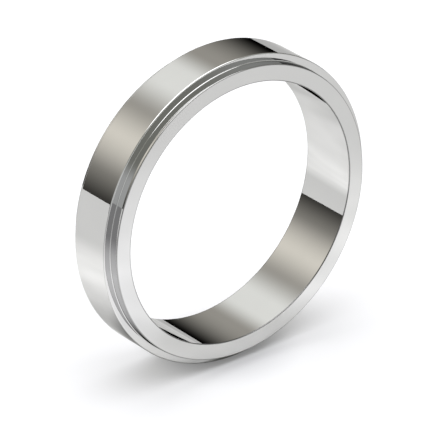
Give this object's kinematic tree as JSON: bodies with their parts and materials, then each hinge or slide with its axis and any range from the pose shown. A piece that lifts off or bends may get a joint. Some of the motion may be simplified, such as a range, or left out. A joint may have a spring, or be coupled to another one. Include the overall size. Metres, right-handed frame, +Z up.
{
  "type": "wedding band",
  "caption": "Flat polished white-metal wedding band with a raised centre band soldered over a full-width base band, leaving a lower rim on each side.",
  "frame": {"origin": "middle of the finger bore: on the ring's axis, halfway across the band's width", "axes": "+Y along the bore's axis, so the front face looks toward -Y and the back face toward +Y; +Z up, with the ring standing on its edge at the lowest Z; +X to the right when the front face is looked at"},
  "size_m": [0.0198, 0.004, 0.0198],
  "materials": {
    "base_metal": "mirror-polished platinum 950, rims and bore",
    "raised_metal": "mirror-polished platinum 950, raised centre",
    "solder": "polished hard platinum solder"
  },
  "bodies": {
    "root": {"base_band": "base_metal", "raised_band": "raised_metal", "solder_joint": "solder"}
  },
  "joints": []
}
